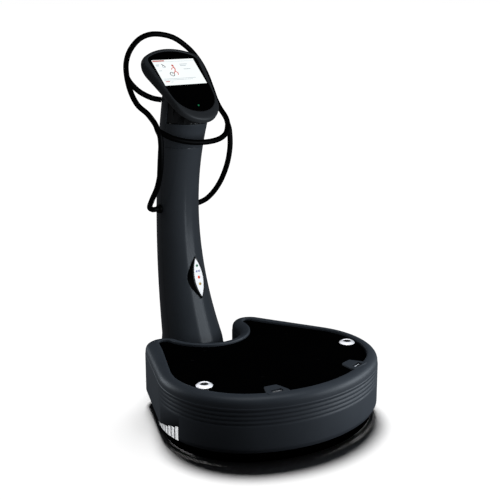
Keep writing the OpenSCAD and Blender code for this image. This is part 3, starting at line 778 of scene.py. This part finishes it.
def column():
    front = cover("column_front", COVER_Z0, SEAM_Z - 0.3, -SEAM_ANGLE + 0.2, SEAM_ANGLE - 0.2, rows=110)
    bm = bmesh.new()
    add_pod(bm, 0.6, 40)
    cut(front, [finish_mesh(bm, "pod_cutter", POD)])
    dress(front, COLUMN, "base", "column_gloss", "column_front_cover")

    top = cover("column_top", SEAM_Z + 0.3, RING_Z - 0.3, -SEAM_ANGLE + 0.2, SEAM_ANGLE - 0.2, rows=16)
    dress(top, COLUMN, "base", "column_gloss", "column_top_cover")

    rear = cover("column_rear", COVER_Z0, 1420, SEAM_ANGLE + 0.2, 360 - SEAM_ANGLE - 0.2, rows=120)
    bm = bmesh.new()
    add_box(bm, (-37, 440, 92), (37, 560, 148))
    cut(rear, [console_cutter(), finish_mesh(bm, "inlet_cutter")])
    dress(rear, COLUMN, "base", "column_gloss", "column_rear_cover")


def neck_ring():
    """Gloss black collar with upright flutes under the console."""
    flutes = 11
    per = 8
    span = 2 * (SEAM_ANGLE - 0.4)
    rings = []
    for z in [RING_Z + 0.3, RING_Z + 1.2] + [RING_Z + 4 + 6 * k for k in range(19)]:
        lip = 3.4 if z < RING_Z + 1 else 5.0
        outer = []
        for i in range(flutes * per + 1):
            angle = -span / 2 + span * i / (flutes * per)
            dip = 2.4 * abs(sin(pi * i / per)) ** 0.6
            outer.append(column_point(z, angle, lip + (dip if z > RING_Z + 3 else 0)))
        inner = [column_point(z, span / 2 - span * i / 24, 9) for i in range(25)]
        rings.append(outer + inner)
    made = skin("neck_collar", rings, sharp=radians(40))
    cut(made, [console_cutter()])
    return dress(made, NECK, "base", "neck_gloss", "neck_ring")


# ---------------------------------------------------------------- start and stop pod
def pod_width(z):
    return POD_BASE_W + (POD_W - POD_BASE_W) * max(0.0, min(1.0, (z + 34) / 34))


def add_pod(bm, extra, n):
    """The boat-shaped body as a closed solid, a little larger by extra."""
    rings = []
    for z in (-44, -34, -22, -11, extra):
        rings.append([(p.x, p.y, z) for p, _ in lens_outline(POD_LEN + extra, pod_width(z) + extra, n, 0)])
    add_skin(bm, rings)


def pod():
    bm = bmesh.new()
    rings = []
    for z, inset in ((-44, 0), (-34, 0), (-26, 0.1), (-18, 0.1), (-10, 0.1), (-5, 0.2), (-2.4, 0.5),
                     (-1.0, 1.0), (-0.2, 1.8), (0, 2.8)):
        rings.append([((p - n * inset).x, (p - n * inset).y, z)
                      for p, n in lens_outline(POD_LEN, pod_width(z), 40)])
    inner = lens_outline(FASCIA_LEN + 0.6, FASCIA_W + 0.6, 40)
    for z, inset in ((-0.2, -0.4), (-0.8, 0), (-36, 0)):
        rings.append([((p - n * inset).x, (p - n * inset).y, z) for p, n in inner])
    add_skin(bm, rings)
    dress(finish_mesh(bm, "pod_body", POD, sharp=radians(40)), POD_BLACK, "base", "neck_gloss",
          "pod_housing")

    bm = bmesh.new()
    add_prism(bm, lens_outline(FASCIA_LEN, FASCIA_W, 40), -3, -0.4, bevel=0.8)
    face = finish_mesh(bm, "pod_face", POD)
    cutters = []
    for _, x, s, r, _, _, _ in KEYS:
        bm = bmesh.new()
        add_lathe(bm, [(r + 0.25, -5), (r + 0.25, 3)], 40, (x, s, 0))
        cutters.append(finish_mesh(bm, "key_hole", POD))
    cut(face, cutters)
    dress(face, FASCIA, "base", "fascia_white", "pod_fascia")

    for name, x, s, r, material, slot, symbol in KEYS:
        bm = bmesh.new()
        add_lathe(bm, [(0.2, -11), (r, -11), (r, 0.4), (r - 0.3, 1.0), (r - 0.9, 1.4), (r * 0.6, 1.7),
                       (0.2, 1.8)], 40, (x, s, 0))
        dress(finish_mesh(bm, "cap_" + name, POD, sharp=radians(60)), material, name, slot, name)
        bm = bmesh.new()
        symbol(bm, x, s, r * 0.5)
        sign = finish_mesh(bm, "sign_" + name, POD)
        dress(sign, DARK if material is not KEY_BLUE else FASCIA, name, "black_plastic")


def flat_sign(bm, points):
    """A low raised sign on a key's top, from outline points that go anticlockwise."""
    add_skin(bm, [[(x, y, z) for x, y in points] for z in (1.2, 1.95)])


def sign_play(bm, x, s, r):
    flat_sign(bm, [(x - r * 0.6, s - r * 0.8), (x + r * 0.9, s), (x - r * 0.6, s + r * 0.8)])


def sign_square(bm, x, s, r):
    flat_sign(bm, [(x - r * 0.7, s - r * 0.7), (x + r * 0.7, s - r * 0.7), (x + r * 0.7, s + r * 0.7),
                   (x - r * 0.7, s + r * 0.7)])


def sign_up(bm, x, s, r):
    flat_sign(bm, [(x - r, s - r * 0.6), (x + r, s - r * 0.6), (x, s + r * 0.9)])


def sign_down(bm, x, s, r):
    flat_sign(bm, [(x + r, s + r * 0.6), (x - r, s + r * 0.6), (x, s - r * 0.9)])


def sign_loop(bm, x, s, r):
    turns = [40 + 290 * k / 20 for k in range(21)]
    outer = [(x + r * cos(radians(a)), s + r * sin(radians(a))) for a in turns]
    inner = [(x + r * 0.62 * cos(radians(a)), s + r * 0.62 * sin(radians(a))) for a in reversed(turns)]
    flat_sign(bm, outer + inner)


KEYS = [
    ("button_start", 0, 53, 5.5, KEY_GREEN, "key_green", sign_play),
    ("button_up", 6.5, 28, 4.5, KEY_BLUE, "key_blue", sign_up),
    ("button_down", -6.5, 28, 4.5, KEY_BLUE, "key_blue", sign_down),
    ("button_stop", 0, 1, 6.5, KEY_RED, "key_red", sign_square),
    ("button_repeat", 0, -29, 6, KEY_YELLOW, "key_yellow", sign_loop)]


# ---------------------------------------------------------------- console
def console():
    steps = 36
    outer, inner = shield(BEZEL, steps), shield(GLASS, steps)
    rings = []
    for (p, _), (q, _) in zip(outer, inner):
        section = [(0, -SHELL_DROP), (0, -10), (0.01, -7), (0.03, -4.2), (0.065, -1.8), (0.12, 0.3),
                   (0.2, 1.9), (0.3, 2.8), (0.42, 3.0), (0.75, 3.0), (0.85, 2.8), (0.92, 2.1),
                   (0.96, 0.8), (0.965, -0.6), (0.965, -6), (0.8, -6), (0.42, -1.5), (0.26, -6),
                   (0.15, -10), (0.15, -SHELL_DROP)]
        section = [(p.lerp(q, share), z) for share, z in section]
        rings.append([(v.x, v.y, z) for v, z in section])
    dress(skin("console_rim", rings, loop=True, place=FACE, sharp=radians(50)), CONSOLE, "base",
          "console_plastic", "console_bezel")

    def back_ring(t, k, inset=0.0):
        ring = []
        for p, n in outer:
            q = p - n * inset
            y = (1 - k) * BEZEL[0] * 0.6 + k * q.y
            ring.append((k * q.x, y, -SHELL_DROP - 0.2 - t * (8 + SHELL_SLOPE * (y - BEZEL[0]))))
        return ring

    depths = [(0, 1), (0.12, 0.996), (0.25, 0.988), (0.38, 0.977), (0.5, 0.965), (0.62, 0.949),
              (0.74, 0.927), (0.85, 0.9), (0.93, 0.878), (1, 0.85)]
    rings = [back_ring(*d) for d in depths]
    rings += [back_ring(0.8, 0.85, 3), back_ring(0.4, 0.96, 3), back_ring(0, 0.99, 3)]
    dress(skin("console_back", rings, loop=True, place=FACE, sharp=radians(50)), CONSOLE, "base",
          "console_plastic")
    bm = bmesh.new()
    add_skin(bm, [back_ring(1, 0.85), back_ring(0.8, 0.85, 3)])
    dress(finish_mesh(bm, "console_back_panel", FACE), CONSOLE, "base", "console_plastic",
          "console_shell")

    bm = bmesh.new()
    add_prism(bm, [(p + 0.2 * n, n) for p, n in inner], -3, 0, bevel=0.5)
    glass = finish_mesh(bm, "console_window", FACE)
    bm = bmesh.new()
    add_lathe(bm, [(4.2, -5), (4.2, 3)], 40, (0, POWER_S, 0))
    hole = finish_mesh(bm, "power_hole", FACE)
    bm = bmesh.new()
    add_prism(bm, rounded_rect(-LCD_W / 2 + 1.5, LCD_W / 2 - 1.5, 2, LCD_LEN - 2, 1.5), -1.2, 3)
    window = finish_mesh(bm, "screen_recess", FACE)
    cut(glass, [hole, window])
    dress(glass, GLASS_BLACK, "base", "console_gloss", "console_glass")

    bm = bmesh.new()
    add_lathe(bm, [(0.2, -9), (4, -9), (4, 0.2), (3.6, 0.7), (2.6, 0.8), (0.2, 0.6)], 40,
              (0, POWER_S, 0))
    dress(finish_mesh(bm, "power_key", FACE), KEY_GREEN, "power_button", "key_green", "power_button")


def screen():
    """The lit display and a plain picture on it: header bar, figure, dial, lines."""
    left, right, low, high = -LCD_W / 2 + 3, LCD_W / 2 - 3, 3.5, LCD_LEN - 3.5
    bm = bmesh.new()
    add_prism(bm, rounded_rect(left, right, low, high, 1.0), -1.15, -0.5, bevel=0.1)
    dress(finish_mesh(bm, "screen_panel", FACE), SCREEN, "base", "screen", "lcd_panel")

    def patches(name, material, shapes):
        layer = bmesh.new()
        for shape in shapes:
            shape(layer)
        dress(finish_mesh(layer, name, FACE), material, "base", "screen")

    def bar(x0, x1, y0, y1, r=0.6):
        return lambda b: add_prism(b, rounded_rect(x0, x1, y0, y1, r, 3), -0.55, -0.35)

    def stroke(points, r):
        return lambda b: add_tube(b, [Vector((x, y, -0.5)) for x, y in points], r, 8)

    def disc(x, y, r0, r1):
        def add(b):
            n = 32
            rings = []
            for k in range(n):
                d = direction(360 * k / n)
                rings.append([(x + d.x * r, y + d.y * r, z)
                              for r, z in ((r1, -0.55), (r1, -0.35), (r0, -0.35), (r0, -0.55))])
            add_skin(b, rings, loop=True)
        return add

    patches("screen_header", SCREEN_RED, [
        bar(left + 2, left + 62, high - 9, high - 3), disc(-18, 112, 0.2, 5.2),
        stroke([(-18, 106), (-14, 92), (-20, 80)], 2.2), stroke([(-16, 101), (-30, 96), (-34, 88)], 1.5),
        stroke([(-20, 80), (-10, 70), (-14, 58)], 1.8), stroke([(-20, 80), (-30, 68)], 1.8),
        bar(left + 12, left + 34, 22, 26)])
    patches("screen_lines", SCREEN_GREY, [
        bar(left + 2, right - 2, high - 12.4, high - 11.4, 0.3),
        bar(left + 8, left + 26, 118, 120.5), bar(left + 8, left + 22, 112, 114.5),
        bar(left + 8, left + 24, 84, 86.5), bar(22, 62, 116, 118.5), bar(22, 52, 108, 110.5),
        bar(30, 66, 88, 90.5), bar(left + 8, right - 40, 38, 39.6), bar(left + 8, right - 60, 31, 32.6),
        disc(left + 44, 108, 5.2, 7.2), bar(left + 40, left + 50, 20, 22)])
    patches("screen_marks", SCREEN_DARK, [
        disc(-42, 64, 9.0, 12.0), stroke([(-42, 64), (-36, 70)], 0.9),
        stroke([(left + 38, 122), (left + 48, 112), (left + 52, 104)], 1.6)])


# ---------------------------------------------------------------- handle
def handle():
    bm = bmesh.new()
    add_tube(bm, spline(both_sides(HOOP_SIDE), 9), TUBE_R, 28)
    dress(finish_mesh(bm, "hoop_tube"), HANDLE, "base", "handle_paint", "handle_hoop")
    bm = bmesh.new()
    add_tube(bm, spline(both_sides(CROSS_SIDE), 12), TUBE_R - 0.1, 28)
    dress(finish_mesh(bm, "crossbar_tube"), HANDLE, "base", "handle_paint", "handle_crossbar")
    bm = bmesh.new()
    for sign in (1, -1):
        add_tube(bm, spline([(sign * x, y, z) for x, y, z in REAR_SIDE], 12), TUBE_R - 0.1, 28)
    dress(finish_mesh(bm, "rear_tubes"), HANDLE, "base", "handle_paint", "handle_rear_bars")
    bm = bmesh.new()
    for sign in (1, -1):
        made = bmesh.new()
        add_lathe(made, [(0.2, 0), (20, 0), (20, 6), (19.4, 8.8), (17.8, 11.2), (15.4, 12.7),
                         (0.2, 13)], 56)
        turn = (Matrix.Translation((sign * COLLAR_PLACE[0], *COLLAR_PLACE[1:]))
                @ Matrix.Rotation(sign * pi / 2, 4, "Y"))
        bmesh.ops.transform(made, matrix=turn, verts=made.verts)
        part = bpy.data.meshes.new("part")
        made.to_mesh(part)
        made.free()
        bm.from_mesh(part)
        bpy.data.meshes.remove(part)
    dress(finish_mesh(bm, "collar_flanges"), HANDLE, "base", "handle_paint", "handle_collars")


shroud()
for side, name in ((1, "right"), (-1, "left")):
    strap_pocket(side, name)
    vent_grille(side, name)
    outlet(side, name)
platform_mat()
column()
neck_ring()
pod()
console()
screen()
handle()
rubber_mounts()

# ---------------------------------------------------------------- CAD nodes that stay as they are
# The plinth skirt and the deck screws take the black plastic with painted shade
CARRIED = {
    "base_frame": BLACK_STEEL, "isolator_posts": BLACK_STEEL, "mast": BLACK_STEEL,
    "console_bracket": BLACK_STEEL, "platform_frame": BLACK_STEEL, "foot_studs": STEEL,
    "foot_nuts": STEEL, "mast_bolts": STEEL, "deck_screws": BLACK_AND_PAINTED_SHADE, "strap_staple_left": STEEL,
    "strap_staple_right": STEEL, "rotor_front": STEEL, "rotor_rear": STEEL, "foot_pads": RUBBER,
    "plinth_skirt": BLACK_AND_PAINTED_SHADE, "mains_inlet": DARK, "mains_switch": KEY_RED,
    "drive_box": ALUMINIUM, "platform_plate": BLACK_STEEL, "pod_board": BOARD, "console_board": BOARD,
    "motor_front": MOTOR, "motor_rear": MOTOR, "motor_caps_front": MOTOR, "motor_caps_rear": MOTOR}
for name, material in CARRIED.items():
    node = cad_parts.get(name)
    if node is not None:
        for place in node.material_slots:
            place.material = material

# ---------------------------------------------------------------- floor and light
def studio_floor():
    """A pale sheet: bright where the camera sees it, dim where the machine reflects it."""
    bpy.ops.mesh.primitive_plane_add(size=400, location=(0, 0, 0))
    sheet = bpy.context.object
    sheet.name = "floor"
    mat, tree, shader = node_tree("floor")
    tinted(tree, shader, (0.95, 0.95, 0.95), noise(tree, 0.7), 0.01)
    shader.inputs["Roughness"].default_value = 0.95
    shader.inputs["Specular IOR Level"].default_value = 0.0
    dim = tree.nodes.new("ShaderNodeBsdfDiffuse")
    dim.inputs["Color"].default_value = (0.05, 0.052, 0.056, 1)
    path = tree.nodes.new("ShaderNodeLightPath")
    choose = tree.nodes.new("ShaderNodeMixShader")
    out = next(n for n in tree.nodes if n.type == "OUTPUT_MATERIAL")
    tree.links.new(path.outputs["Is Camera Ray"], choose.inputs[0])
    tree.links.new(dim.outputs[0], choose.inputs[1])
    tree.links.new(shader.outputs[0], choose.inputs[2])
    tree.links.new(choose.outputs[0], out.inputs[0])
    sheet.data.materials.append(mat)
    return sheet


def studio_world(seen, ambient):
    """White behind the object, and a dimmer grey room as the light that falls on it."""
    world = bpy.data.worlds.new("world")
    bpy.context.scene.world = world
    world.use_nodes = True
    tree = world.node_tree
    tree.nodes.clear()
    out = tree.nodes.new("ShaderNodeOutputWorld")
    mix = tree.nodes.new("ShaderNodeMixShader")
    path = tree.nodes.new("ShaderNodeLightPath")
    room = tree.nodes.new("ShaderNodeBackground")
    room.inputs["Color"].default_value = (*ambient, 1)
    wall = tree.nodes.new("ShaderNodeBackground")
    wall.inputs["Strength"].default_value = seen
    tree.links.new(path.outputs["Is Camera Ray"], mix.inputs[0])
    tree.links.new(room.outputs[0], mix.inputs[1])
    tree.links.new(wall.outputs[0], mix.inputs[2])
    tree.links.new(mix.outputs[0], out.inputs[0])
    wall.inputs["Color"].default_value = (1, 1, 1, 1)


def aimed(obj, azimuth, elevation):
    """Turns a light to shine from a compass side, counted from +X to +Y; returns that direction."""
    a, e = radians(azimuth), radians(elevation)
    towards = Vector((cos(a) * cos(e), sin(a) * cos(e), sin(e)))
    obj.rotation_euler = (-towards).to_track_quat("-Z", "Y").to_euler()
    bpy.context.scene.collection.objects.link(obj)
    return towards


def soft_box(name, azimuth, elevation, size, radiance, lit, tint=(1, 1, 1), distance=3.2, height=0.5):
    """A rectangular light that shines on one group of pieces only."""
    data = bpy.data.lights.new(name, "AREA")
    data.shape = "RECTANGLE"
    data.size, data.size_y = size
    data.energy = radiance * pi * size[0] * size[1]
    data.color = tint
    light = bpy.data.objects.new(name, data)
    light.location = Vector((0, 0, height)) + distance * aimed(light, azimuth, elevation)
    light.light_linking.receiver_collection = lit


def sun_light(name, azimuth, elevation, strength, spread, lit):
    data = bpy.data.lights.new(name, "SUN")
    data.energy = strength
    data.angle = radians(spread)
    light = bpy.data.objects.new(name, data)
    aimed(light, azimuth, elevation)
    light.light_linking.receiver_collection = lit


def lit_group(name, objects):
    group = bpy.data.collections.new(name)
    for obj in objects:
        group.objects.link(obj)
    return group


sheet = studio_floor()
pieces = [obj for obj in bpy.data.objects if obj.type == "MESH" and obj != sheet]
UPRIGHT = ("column", "neck", "pod", "console", "screen", "sign", "cap", "power", "hoop", "crossbar",
           "rear_tubes", "collar")
PALE = ("pod_face", "cap", "sign", "power_key", "outlet", "turret", "grille_slats", "strap_staple")
upright = lit_group("upright", [obj for obj in pieces if obj.name.startswith(UPRIGHT)])
# The plinth and what stands under it stay in the machine's own shadow
SHADED = ("plinth", "foot", "base_frame")
low = lit_group("low", [obj for obj in pieces if not obj.name.startswith(UPRIGHT + SHADED)])
pale = lit_group("pale", [obj for obj in pieces if obj.name.startswith(PALE)])
COOL = (0.84, 0.92, 1.0)
studio_world(1.0, (0.005, 0.0052, 0.0056))
sun_light("back", 60, 68, 3.75, 20, lit_group("ground", [sheet]))
soft_box("low_right", -40, 6, (3.0, 1.8), 4.0, low, COOL)
soft_box("low_left", 118, 6, (1.6, 1.6), 3.5, low, COOL)
soft_box("low_top", -105, 74, (2.4, 1.6), 2.8, low, COOL)
soft_box("high_front", -72, 8, (3.0, 1.8), 2.5, upright, COOL, height=0.9)
soft_box("high_left", 112, 25, (1.0, 1.6), 1.6, upright, height=1.2)
soft_box("high_strip", -101, 4, (0.22, 2.4), 6.0, upright, COOL, height=0.9)
soft_box("pale_front", -120, 28, (2.0, 1.2), 11.0, pale)
soft_box("pale_left", -165, 8, (1.2, 1.2), 14.0, pale)

bpy.context.scene.view_settings.view_transform = "Standard"
